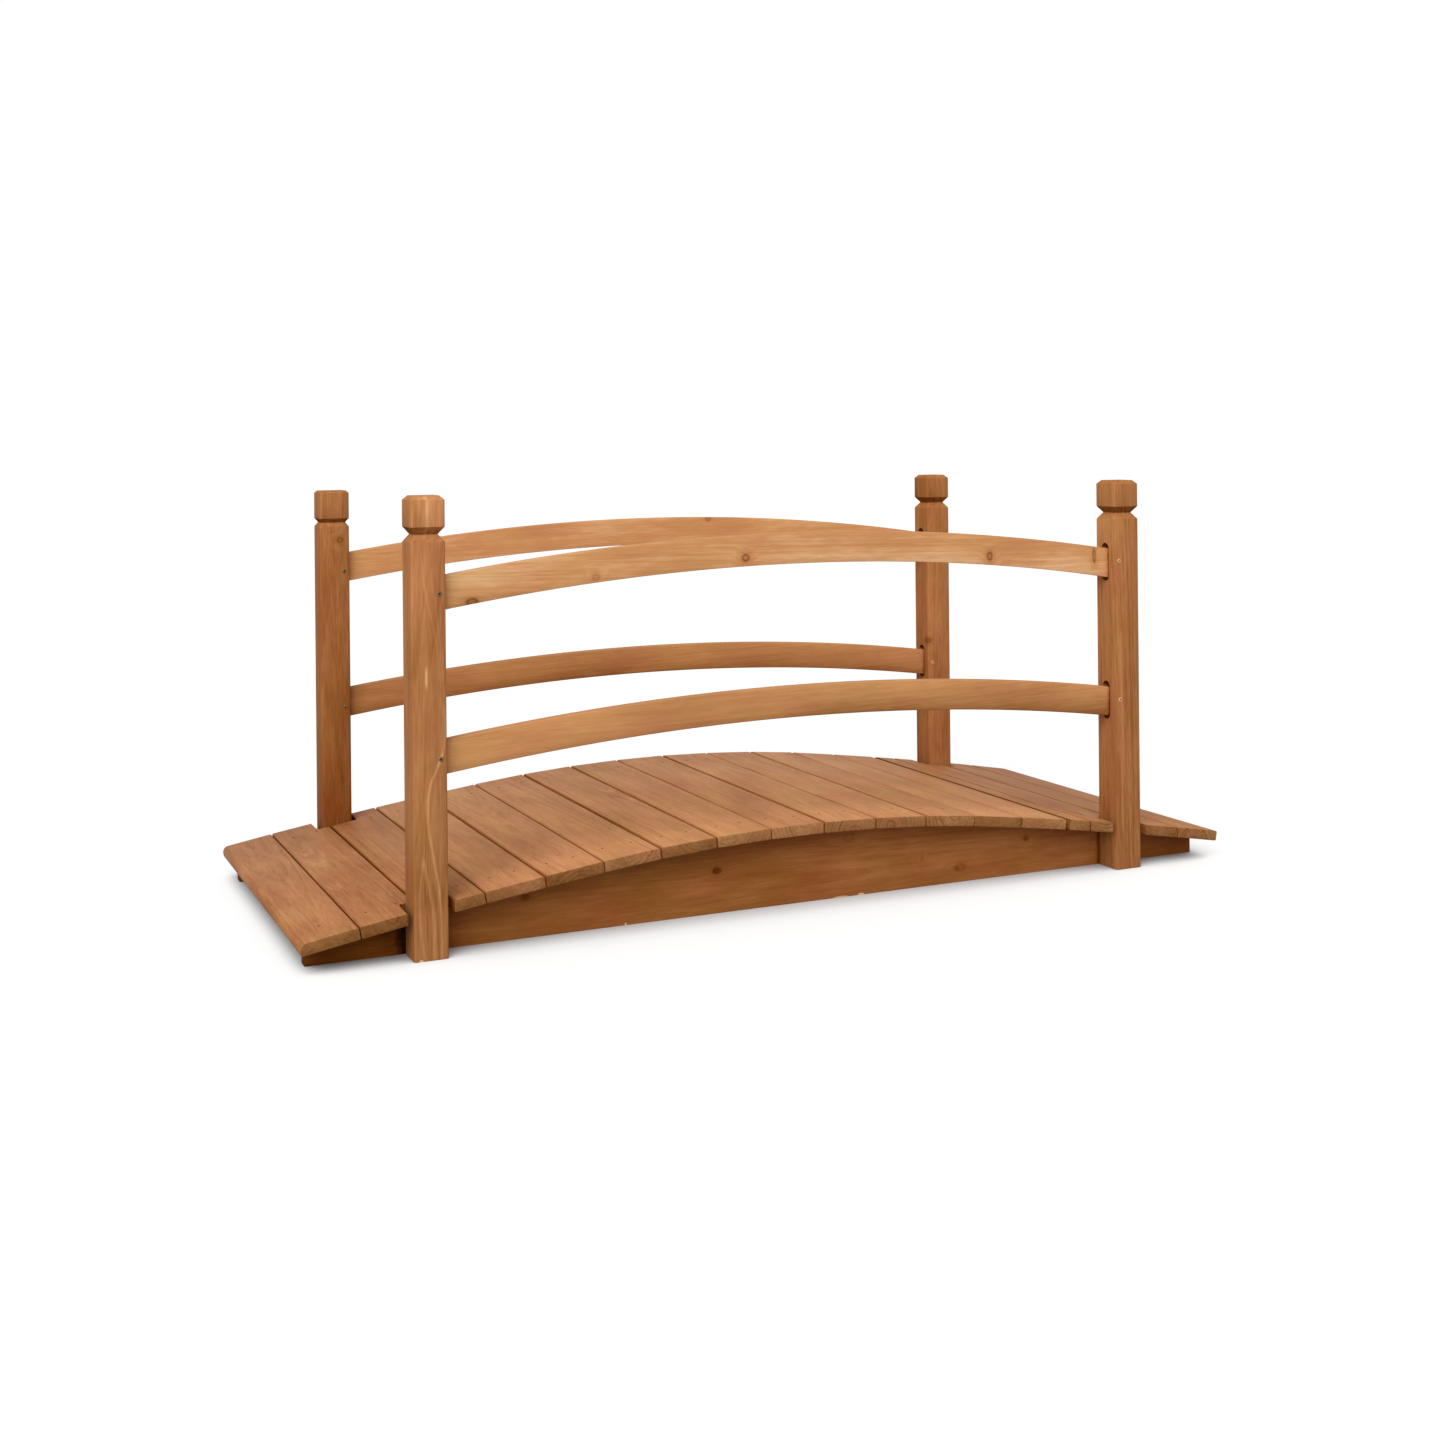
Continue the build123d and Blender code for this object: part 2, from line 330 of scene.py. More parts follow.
def pick(piece, kind, passes):
    """Select those vertices, edges or faces of the open mesh that pass a test."""
    bpy.ops.mesh.select_mode(type=kind)
    bpy.ops.mesh.select_all(action="DESELECT")
    mesh = bmesh.from_edit_mesh(piece.data)
    elements = {"VERT": mesh.verts, "EDGE": mesh.edges, "FACE": mesh.faces}[kind]
    chosen = [element for element in elements if passes(element)]
    if not chosen:
        raise RuntimeError(f"nothing to shape on {piece.name}")
    for element in chosen:
        element.select_set(True)
    mesh.select_flush_mode()
    bmesh.update_edit_mesh(piece.data)


def add_block(name, low, high):
    """A block between two corners."""
    deselect()
    middle = (low + high) / 2
    bpy.ops.mesh.primitive_cube_add(size=1, location=middle, scale=high - low)
    block = bpy.context.object
    block.name = name
    settle(block)
    return block


def settle(piece):
    """Put the piece's place, turn and scale into its mesh."""
    choose(piece)
    bpy.ops.object.transform_apply(location=True, rotation=True, scale=True)


def modify(piece, kind, **settings):
    """Add a modifier to the piece and apply it."""
    choose(piece)
    modifier = piece.modifiers.new(kind.title(), kind)
    for key, value in settings.items():
        setattr(modifier, key, value)
    bpy.ops.object.modifier_apply(modifier=modifier.name)


def cut(piece, cutter):
    """Cut one piece with another, which is used up."""
    modify(piece, "BOOLEAN", operation="DIFFERENCE", object=cutter, solver="EXACT")
    bpy.data.objects.remove(cutter)


def mirror(piece):
    """Complete a half piece on the other side of the middle."""
    modify(piece, "MIRROR", use_axis=(True, False, False), merge_threshold=MERGE_DISTANCE * MM)


def ease(piece, radius, segments=EDGE_FACETS):
    """Round the piece's edges that are not nearly flat."""
    angle = math.radians(EASED_ANGLE)
    modify(piece, "BEVEL", width=radius, segments=segments, limit_method="ANGLE", angle_limit=angle)


def tidy_shell(piece):
    """Merge doubled points and turn the faces outwards."""
    edit(piece)
    pick_all()
    bpy.ops.mesh.remove_doubles(threshold=MERGE_DISTANCE * MM)
    bpy.ops.mesh.normals_make_consistent(inside=False)
    close()


def finish(piece, material, nodes):
    """Give the piece its material and hand it to the frame."""
    piece.data.name = piece.name
    piece.data.materials.clear()
    piece.data.materials.append(material)
    choose(piece)
    bpy.ops.object.shade_smooth_by_angle(angle=math.radians(SHARP_ANGLE))
    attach(piece, BODY)
    if nodes:
        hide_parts(*nodes)


def domed_head(radius, shares, turn=(0, 0, 0)):
    """A low domed head that looks up until it is turned."""
    deselect()
    height = radius * shares["height"]
    depth = height * shares["depth"]
    bpy.ops.mesh.primitive_cylinder_add(vertices=shares["sides"], radius=radius, depth=depth)
    head = bpy.context.object
    edit(head)
    pick(head, "FACE", lambda face: face.normal.z > FACING)
    bpy.ops.transform.translate(value=(0, 0, -height * shares["sink"]))
    bpy.ops.mesh.inset(thickness=radius * shares["slope"], depth=0)
    bpy.ops.transform.translate(value=(0, 0, height * shares["dome"]))
    close()
    head.rotation_euler = turn
    settle(head)
    return head


def copies(model, places, name):
    """Copies of a model, each with its own mesh, set at their places and joined to one piece."""
    made = []
    for place in places:
        copy = model.copy()
        copy.data = model.data.copy()
        copy.matrix_world = place
        bpy.context.collection.objects.link(copy)
        made.append(copy)
    deselect()
    for copy in made:
        copy.select_set(True)
    bpy.context.view_layer.objects.active = made[0]
    bpy.ops.object.join()
    piece = bpy.context.object
    piece.name = name
    settle(piece)
    return piece


# Grain

# Seeds of the draws that make boards of a kind differ
SEEDS = {"planks": 11, "stringers": 5, "rails": 3, "posts": 8, "nails": 21}

# Where the log's heart runs past a board: in millimetres, how far it may be across and the range of its
# depth, and the slopes that it may lean by in both directions. Then the metres of log that boards come from.
PLANK_LOG = (22, (18, 55), (0.02, 0.06))
RAIL_LOG = (25, (25, 50), (0.03, 0.03))
POST_LOG = (30, (20, 45), (0.03, 0.04))
STRINGER_HEART = (-20, 30)
STRINGER_LEAN = (0.01, 0.03)
LOG_LENGTH = 40


def draw_log(draw, across, depths, leans, either_side=True):
    """Draw where the heart runs past a board, how it leans, and where along the log the board was."""
    heart_across = draw.uniform(-across, across) * MM
    side = draw.choice((-1, 1)) if either_side else 1
    heart_depth = side * draw.uniform(*depths) * MM
    lean = [draw.uniform(-most, most) for most in leans]
    return (heart_across, heart_depth), lean, draw.uniform(0, LOG_LENGTH)


def lay_grain(piece, middle, along, across, log, tone, shade):
    """Write the board's grain and tone, and its faces' shade and end grain, for its material to read.

    Grain is length along the log, and the distances from its heart in two directions.
    """
    (heart_across, heart_depth), (lean_across, lean_depth), start = log
    inwards = along.cross(across)
    mesh = piece.data
    grain = []
    tones = []
    for vertex in mesh.vertices:
        offset = vertex.co - middle
        run = offset.dot(along)
        grain.append(run + start)
        grain.append(offset.dot(across) - heart_across - lean_across * run)
        grain.append(offset.dot(inwards) - heart_depth - lean_depth * run)
        tones.append(tone(run, vertex.co))
    shades = [shade(face.normal) for face in mesh.polygons]
    ends = [float(abs(face.normal.dot(along)) > FACING) for face in mesh.polygons]
    mesh.attributes.new("grain", "FLOAT_VECTOR", "POINT").data.foreach_set("vector", grain)
    layers = [("tone", "POINT", tones), ("shade", "FACE", shades), ("end_grain", "FACE", ends)]
    for name, domain, values in layers:
        mesh.attributes.new(name, "FLOAT", domain).data.foreach_set("value", values)


# Materials

def add_node(tree, kind, *values, inputs=None, stops=None, **settings):
    """Add a node with its settings, the values or links of its inputs, and the stops of its ramp."""
    made = tree.nodes.new("ShaderNode" + kind)
    for key, value in settings.items():
        setattr(made, key, value)
    for key, value in [*enumerate(values), *(inputs or {}).items()]:
        if isinstance(value, bpy.types.NodeSocket):
            tree.links.new(value, made.inputs[key])
        else:
            made.inputs[key].default_value = value
    for index, (position, value) in enumerate(stops or []):
        elements = made.color_ramp.elements
        element = elements[index] if index < len(elements) else elements.new(position)
        element.position = position
        element.color = value
    return made


def new_material(name):
    """An empty material with a shader, its tree and the shader."""
    material = bpy.data.materials.new(name)
    material.use_nodes = True
    tree = material.node_tree
    return material, tree, tree.nodes["Principled BSDF"]


# How strongly each timber shows its rings, fibres and blotches, its sheen, the depth of its stain's colour,
# how far that leans to ochre, and its marks; the rails' and stringers' knots include painted shade beside
# the posts
LOOKS = {
    "planks": {
        "rings": 0.12, "fibres": 0.17, "blotches": 0.28, "sheen": 0.2, "depth": 1.0,
        "knots_and_shade": DECK_KNOTS, "chips": DECK_CHIPS, "loops": DECK_LOOPS,
    },
    "stringers": {
        "rings": 0.05, "fibres": 0.1, "blotches": 0.34, "sheen": 0.06, "depth": 1.03,
        "knots_and_shade": STRINGER_KNOTS_AND_SHADE, "chips": STRINGER_CHIPS,
    },
    "rails": {
        "rings": 0.06, "fibres": 0.12, "blotches": 0.27, "sheen": 0.08, "depth": 1.0, "ochre": 0.003,
        "knots_and_shade": RAIL_KNOTS_AND_SHADE,
    },
    "posts": {
        "rings": 0.08, "fibres": 0.17, "blotches": 0.26, "sheen": 0.04, "depth": 1.01,
        "knots_and_shade": POST_KNOTS, "chips": POST_CHIPS, "streaks": POST_STREAKS,
    },
}

# The fir's colours by their place on its scale from dark to pale
STAIN_SCALE = {
    "knot": 0.0, "shade": 0.25, "brown": 0.4, "tan": 0.55, "warm": 0.7, "light": 0.85, "pale": 1.0,
}

# Grain of the fir in millimetres: the fibres are drawn wider than they are, so that they show.
# A pattern has its width, its length along the grain and its octaves of detail.
RING_WIDTH = 5.5
RING_SPREAD = 14
RING_WANDER = (45, 450, 2)
RING_PATCH = (70, 700, 1)
FIBRE = (1.8, 160, 3)
FLECK = (2.6, 26, 2)
STREAK = (7, 260, 3)
BLOTCH = (48, 150, 4)
TINT = (90, 90, 2)
KNOT_ROUGHNESS = (9, 9, 2)
STREAK_FADE = 7
STREAK_DEPTH = 5

# How many rings' widths the rings spread and wander, how strong the faintest ring and patch of rings are,
# the mean darkness of the late wood, and the rings' extra strength on end grain
SPREAD_RINGS = 2.0
WANDER_RINGS = 2.4
FAINTEST_RING = 0.25
FAINTEST_PATCH = 0.15
LATE_WOOD_MEAN = 0.15
END_RINGS = 0.08

# The mean of a noise, and the range that most of it lies in
NOISE_MEAN = 0.5
NOISE_RANGE = (0.3, 0.7)

# How far the tint leans to red and to ochre on the colour wheel, its lean and strength on end grain
NEUTRAL_HUE = 0.5
TINT_LEAN = (-0.0065, 0.0015)
END_LEAN = 0.006
END_SATURATION = 0.94

# Marks, by the distance from their middle in half sizes: how ragged they are, a loop's breadth, how far a
# knot bends rings and by how many, its halo's start, end and share of darkness, a chip's rim and paleness
KNOT_RAGGEDNESS = 0.5
LOOP_RAGGEDNESS = 0.6
LOOP_BREADTH = 0.28
KNOT_BEND_REACH = 3.5
KNOT_BEND = 1.2
KNOT_HALO = (0.5, 2.2)
KNOT_HALO_SHARE = 0.25
CHIP_RIM = (0.7, 1.1)
CHIP_LIFT = 0.55

# A knot from its heart to its rim, and a ring from early to late wood, as shares of their darkness
KNOT_SHARES = [(0.0, 0.45), (0.35, 0.35), (0.55, 1.0), (0.75, 0.35), (1.0, 0.0)]
LATE_WOOD_SHARES = [(0.0, 0.35), (0.12, 0.0), (0.45, 0.08), (0.8, 0.6), (0.93, 1.0)]

# Surface of the fir: its roughness over the fibres, its relief's strength, depth in millimetres and share of
# the rings, and the shade at which its sheen is gone
FIR_IOR = 1.45
FIR_ROUGHNESS = (0.52, 0.66)
RELIEF = 0.35
RELIEF_DEPTH = 0.3
RELIEF_RING_SHARE = 0.5
DULL_SHADE = -0.1

# Uneven plating: its spots' width in millimetres, detail, darkness and range
SPOT_WIDTH = 1.5
SPOT_DETAIL = 2
SPOT_SHADE_SHARE = 0.55
SPOT_RANGE = (0.3, 0.6)

# Setting that makes a range map a smooth step
SMOOTH = {"interpolation_type": "SMOOTHSTEP"}


def grey(shares):
    """Ramp stops of a grey scale."""
    return [(position, [share] * 3 + [1]) for position, share in shares]


def stained_fir(
    name, colours, rings, fibres, blotches, sheen, depth,
    ochre=0.0, knots_and_shade=(), chips=(), streaks=None, loops=(),
):
    """Planed plantation fir in a thin brown stain.

    The wide rings show as soft darker lines of uneven strength and the fibres as faint streaks, the stain
    pools in blotches that lean to red or to ochre, end grain shows its rings, and the surface has a dull
    sheen. Knots are dark eyes that the rings bend round, chips show bare wood, streaks are pale sapwood,
    and loops are pale rings that the saw has skimmed. Some marks given as knots are painted shade by the
    posts.
    """
    material, tree, shader = new_material(name)

    def add(kind, *values, output=0, **settings):
        return add_node(tree, kind, *values, **settings).outputs[output]

    def pattern(vector, width, run, detail):
        """Soft spots of a width, drawn out to a length along the grain."""
        drawn = add("Mapping", inputs={"Vector": vector, "Scale": (width / run, 1, 1)})
        return add("TexNoise", inputs={"Vector": drawn, "Scale": 1 / (width * MM), "Detail": detail})

    def fade(value, start, end):
        """A smooth fall from 1 at the start to 0 at the end."""
        return add("MapRange", value, start, end, 1.0, 0.0, **SMOOTH)

    def add_layers(level, layers):
        """The level with its layers added, each by its share."""
        for layer, share in layers:
            level = add("Math", layer, share, level, operation="MULTIPLY_ADD")
        return level

    def distance(mark):
        """Distance from the middle of a mark, as a share of its half sizes."""
        scale = [1 / (size * MM) for size in mark[1]]
        shift = [-at / size for at, size in zip(*mark[:2])]
        away = add("VectorMath", place, scale, shift, operation="MULTIPLY_ADD")
        return add("VectorMath", away, operation="LENGTH", output="Value")

    def ragged(mark, reach, raggedness):
        """Distance from an uneven line round a mark."""
        away = add("Math", distance(mark), reach + raggedness * NOISE_MEAN, operation="SUBTRACT")
        return add_layers(away, [(rough, raggedness)])

    def sapwood(post, points, half_width):
        """How near the wood is to a streak over the front of its post, from 0 to 1."""
        low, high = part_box(post)
        rise = add("Math", axes["Z"], high.z, operation="DIVIDE")
        curve = add_node(tree, "FloatCurve", inputs={"Value": rise})
        handles = curve.mapping.curves[0].points
        for index, (height, across) in enumerate(points):
            spot = (height * MM / high.z, across * MM / (high.x - low.x))
            if index < len(handles):
                handles[index].location = spot
            else:
                handles.new(*spot)
        curve.mapping.update()
        across = add("MapRange", curve.outputs[0], 0.0, 1.0, low.x, high.x)
        away = add("Math", axes["X"], across, operation="SUBTRACT")
        away = add("Math", away, operation="ABSOLUTE")
        foot, head = (points[end][0] * MM for end in (0, -1))
        room = STREAK_FADE * MM
        skin = STREAK_DEPTH * MM
        near = fade(away, 0.0, half_width * MM)
        limits = [
            fade(axes["Z"], foot + room, foot - room),
            fade(axes["Z"], head - room, head + room),
            fade(axes["Y"], low.y + skin, low.y + 2 * skin),
            add("Math", axes["X"], (low.x + high.x) / 2, high.x - low.x, operation="COMPARE"),
        ]
        for limit in limits:
            near = add("Math", near, limit, operation="MULTIPLY")
        return near

    grain = add("Attribute", attribute_name="grain", output="Vector")
    tone, shade, end_grain = (
        add("Attribute", attribute_name=kind, output="Fac") for kind in ("tone", "shade", "end_grain")
    )
    place = add("TexCoord", output="Object")
    axes = add_node(tree, "SeparateXYZ", place).outputs
    fibre, streak, fleck, blotch = (pattern(grain, *sizes) for sizes in (FIBRE, STREAK, FLECK, BLOTCH))
    rough = pattern(place, *KNOT_ROUGHNESS)

    # What moves the rings round the heart, and what lightens or darkens the board, each with its share
    across = add("VectorMath", grain, (0, 1, 1), operation="MULTIPLY")
    radius = add("VectorMath", across, operation="LENGTH", output="Value")
    spread = add("TexNoise", inputs={"W": radius, "Scale": 1 / (RING_SPREAD * MM)}, noise_dimensions="1D")
    bends = [(spread, SPREAD_RINGS), (pattern(grain, *RING_WANDER), WANDER_RINGS)]
    mottles = [(fibre, fibres), (streak, fibres), (fleck, fibres), (blotch, blotches)]
    layers = [(shade, 1.0), *mottles]
    # Knots, and the marks of painted shade beside the posts, darken the wood and bend its rings
    for knot in knots_and_shade:
        away = ragged(knot, 0.0, KNOT_RAGGEDNESS)
        bends.append((fade(away, 0.0, KNOT_BEND_REACH), KNOT_BEND))
        layers.append((add("ValToRGB", away, stops=grey(KNOT_SHARES)), -knot[2]))
        layers.append((fade(away, *KNOT_HALO), -KNOT_HALO_SHARE * knot[2]))
    for post, lines in (streaks or {}).items():
        layers += [(sapwood(post, points, half_width), paler) for points, half_width, paler in lines]
    for loop in loops:
        away = add("Math", ragged(loop, 1.0, LOOP_RAGGEDNESS), operation="ABSOLUTE")
        near_half = fade(axes["Y"], (loop[0][1] - loop[1][1]) * MM, loop[0][1] * MM)
        arch = add("Math", fade(away, 0.0, LOOP_BREADTH), near_half, operation="MULTIPLY")
        layers.append((arch, loop[2]))
    for chip in chips:
        layers.append((fade(distance(chip), *CHIP_RIM), CHIP_LIFT))

    # Late wood, of uneven strength from ring to ring and in patches
    phase = add_layers(add("Math", radius, RING_WIDTH * MM, operation="DIVIDE"), bends)
    late = add("ValToRGB", add("Math", phase, operation="FRACT"), stops=grey(LATE_WOOD_SHARES))
    number = add("Math", phase, operation="FLOOR")
    strength = add("TexWhiteNoise", inputs={"W": number}, noise_dimensions="1D")
    strength = add("Math", strength, 1 - FAINTEST_RING, FAINTEST_RING, operation="MULTIPLY_ADD")
    patch = add("MapRange", pattern(grain, *RING_PATCH), *NOISE_RANGE, FAINTEST_PATCH, 1.0, **SMOOTH)
    for share in (strength, patch):
        late = add("Math", late, share, operation="MULTIPLY")
    layers.append((late, add("Math", end_grain, -END_RINGS, -rings, operation="MULTIPLY_ADD")))
    surplus = NOISE_MEAN * sum(share for spots, share in mottles) - LATE_WOOD_MEAN * rings
    level = add_layers(add("Math", tone, surplus, operation="SUBTRACT"), layers)

    # Colour and surface
    stops = [(position, getattr(colours, tint)) for tint, position in STAIN_SCALE.items()]
    stain = add("ValToRGB", level, stops=stops)
    hues = [NEUTRAL_HUE + ochre + lean for lean in TINT_LEAN]
    hue = add("MapRange", pattern(grain, *TINT), *NOISE_RANGE, *hues, **SMOOTH)
    hue = add("Math", end_grain, END_LEAN, hue, operation="MULTIPLY_ADD")
    strong = add("Math", end_grain, END_SATURATION - 1, depth, operation="MULTIPLY_ADD")
    relief = add("Math", late, RELIEF_RING_SHARE, fibre, operation="MULTIPLY_ADD")
    surface = {
        "Base Color": add("HueSaturation", inputs={"Hue": hue, "Saturation": strong, "Color": stain}),
        "Roughness": add("MapRange", fibre, *NOISE_RANGE, *FIR_ROUGHNESS, **SMOOTH),
        "Normal": add("Bump", inputs={"Strength": RELIEF, "Distance": RELIEF_DEPTH * MM, "Height": relief}),
        "Specular IOR Level": add("MapRange", shade, DULL_SHADE, 0.0, 0.0, sheen, **SMOOTH),
    }
    for socket, value in surface.items():
        tree.links.new(value, shader.inputs[socket])
    shader.inputs["IOR"].default_value = FIR_IOR
    return material


def plated_steel(name, tint, metallic, roughness):
    """Zinc-plated or stain-darkened steel: a dull grey metal, uneven from handling."""
    material, tree, shader = new_material(name)
    place = add_node(tree, "TexCoord").outputs["Object"]
    handling = {"Vector": place, "Scale": 1 / (SPOT_WIDTH * MM), "Detail": SPOT_DETAIL}
    spots = add_node(tree, "TexNoise", inputs=handling).outputs[0]
    dark = [channel * SPOT_SHADE_SHARE for channel in tint[:3]] + [1]
    tone = add_node(tree, "ValToRGB", spots, stops=list(zip(SPOT_RANGE, (dark, tint)))).outputs[0]
    tree.links.new(tone, shader.inputs["Base Color"])
    shader.inputs["Metallic"].default_value = metallic
    shader.inputs["Roughness"].default_value = roughness
    return material


# Pieces

def begin(context, kind):
    """The sizes, the material of a kind of timber, and the draws that make its boards differ."""
    material = stained_fir("Stained fir " + kind, context.scene.bridge_colours, **LOOKS[kind])
    return context.scene.bridge_sizes, material, random.Random(SEEDS[kind])


def plank_plan(node):
    """The tilt of a deck board, and its corners before it was tilted, read from the frame."""
    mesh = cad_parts[node].data
    top = max((face for face in mesh.polygons if face.normal.z > DECK_FACING), key=lambda face: face.area)
    slope = math.atan2(top.normal.x, top.normal.z)
    turn = Matrix.Rotation(slope, 3, "Y")
    flat = [turn.transposed() @ vertex.co for vertex in mesh.vertices]
    low = Vector([min(point[axis] for point in flat) for axis in range(3)])
    high = Vector([max(point[axis] for point in flat) for axis in range(3)])
    return turn, low, high


class BRIDGE_OT_planks(bpy.types.Operator):
    """Lay the deck boards, cut round the posts"""

    bl_idname = "bridge.planks"
    bl_label = "Deck planks"

    def execute(self, context):
        sizes, material, draw = begin(context, "planks")
        joints = [DRAWN_JOINT, *(width for width, darker in JOINTS), DRAWN_JOINT]
        posts = [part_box(name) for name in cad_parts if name.endswith("post")]
        for index, node in enumerate(DECK_BOARDS):
            turn, low, high = plank_plan(node)
            low.x -= (DRAWN_JOINT - joints[index]) / 2 * MM
            high.x += (DRAWN_JOINT - joints[index + 1]) / 2 * MM
            plank = add_block(node + "_board", low, high)
            plank.rotation_euler = turn.to_euler()
            settle(plank)
            for post_low, post_high in posts:
                self.notch(plank, node, post_low, post_high, sizes)
            self.round_edges(plank, index, turn, low, sizes)
            across = turn @ RIGHT
            lay_grain(
                plank, turn @ ((low + high) / 2), BACK, across, draw_log(draw, *PLANK_LOG),
                lambda along, point: PLANK_TONES[index], lambda normal: self.shade(normal, across, index),
            )
            finish(plank, material, [node])
        return {"FINISHED"}

    def shade(self, normal, across, index):
        """Painted shade in the joints and notches, on the deck's outer sides and round the ends' top and
        bottom edges; the end grain itself took more stain.
        """
        side = normal.dot(across)
        if abs(normal.y) > FACING:
            return PLANK_END_SHADES[index]
        if abs(side) < LEANING:
            return PAINTED_END_EDGE_SHADE if abs(normal.y) > LEANING else 0.0
        joint = index if side > 0 else index - 1
        if not 0 <= joint < len(JOINTS):
            return PAINTED_OUTER_SIDE_SHADE
        return PAINTED_JOINT_SHADE if abs(side) > FACING else JOINTS[joint][1]

    def round_edges(self, plank, index, turn, low, sizes):
        """Round the long edges, the first board's outer one the most, and then the edges of the ends."""

        def runs_across(edge):
            first, second = (vertex.co for vertex in edge.verts)
            return abs((second - first).normalized().y) > RUNNING

        def is_nose(edge):
            left = low.x + FACE_ROOM * MM
            bottom = low.z + FACE_ROOM * MM
            places = [turn.transposed() @ vertex.co for vertex in edge.verts]
            return runs_across(edge) and all(place.x < left and place.z > bottom for place in places)

        edit(plank)
        if index == 0:
            pick(plank, "EDGE", is_nose)
            bpy.ops.mesh.bevel(offset=sizes.nose, segments=NOSE_FACETS, affect="EDGES")
        angle = math.radians(EASED_ANGLE)
        pick(plank, "EDGE", lambda edge: runs_across(edge) and edge.calc_face_angle(0) > angle)
        bpy.ops.mesh.bevel(offset=sizes.plank_edge, segments=EDGE_FACETS, affect="EDGES")
        close()
        ease(plank, sizes.plank_end_edge, FINE_FACETS)
        tidy_shell(plank)

    def notch(self, plank, node, post_low, post_high, sizes):
        """Cut the board where it meets a post."""
        board_low, board_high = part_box(node)
        room = Vector((sizes.notch_side, sizes.notch_back, 0))
        low = post_low - room
        high = post_high + room
        if low.x > board_high.x or high.x < board_low.x:
            return
        if low.y > 0:
            high.y += room.x
        else:
            low.y -= room.x
        cut(plank, add_block("notch", low, high))


class BRIDGE_OT_stringers(bpy.types.Operator):
    """Saw the two arched boards that carry the deck"""

    bl_idname = "bridge.stringers"
    bl_label = "Stringers"

    def execute(self, context):
        sizes, material, draw = begin(context, "stringers")
        heart = [place * MM for place in STRINGER_HEART]
        for side in ("front", "back"):
            low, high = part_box(side + "_stringer")
            board = self.saw(side + "_stringer_board", low, high, sizes)
            ease(board, sizes.stringer_edge, FINE_FACETS)
            log = (heart, STRINGER_LEAN, draw.uniform(0, LOG_LENGTH))
            lay_grain(
                board, (low + high) / 2, RIGHT, UP, log,
                self.tone, lambda normal: END_SHADE if abs(normal.x) > FACING else 0.0,
            )
            finish(board, material, [side + "_stringer"])
        return {"FINISHED"}

    def tone(self, along, point):
        """Lighter to one end, and darker towards both ends with painted shade."""
        start, end, painted_shade = STRINGER_END_PAINTED_SHADE
        share = min(max((abs(along) / MM - start) / (end - start), 0), 1)
        return STRINGER_TONE[0] + STRINGER_TONE[1] * along + painted_shade * share

    def saw(self, name, low, high, sizes):
        """Spin the arched top from the crown to the end, mirror it, and draw it down to the ground."""
        deselect()
        thickness = high.y - low.y
        start = (thickness / 2, (low.y + high.y) / 2, high.z)
        bpy.ops.mesh.primitive_plane_add(size=thickness, location=start)
        board = bpy.context.object
        board.name = name
        settle(board)
        edit(board)
        pick(board, "VERT", lambda vertex: vertex.co.x > thickness / 2)
        bpy.ops.mesh.delete(type="VERT")
        shoulder = sizes.crown_half / sizes.crown_radius
        crown_centre = Vector((0, 0, high.z - sizes.crown_radius))
        flank_centre = crown_centre + (sizes.crown_radius - sizes.flank_radius) * Vector(
            (math.sin(shoulder), 0, math.cos(shoulder))
        )
        end = math.asin((high.x - flank_centre.x) / sizes.flank_radius)
        pick_all()
        bpy.ops.mesh.spin(steps=CROWN_STEPS, angle=shoulder, center=crown_centre, axis=SPIN_AXIS)
        bpy.ops.mesh.spin(steps=FLANK_STEPS, angle=end - shoulder, center=flank_centre, axis=SPIN_AXIS)
        close()
        mirror(board)
        edit(board)
        pick_all()
        bpy.ops.mesh.extrude_region_move(TRANSFORM_OT_translate={"value": (0, 0, -high.z)})
        bpy.ops.transform.resize(value=(1, 1, 0), center_override=(0, 0, low.z))
        close()
        tidy_shell(board)
        return board


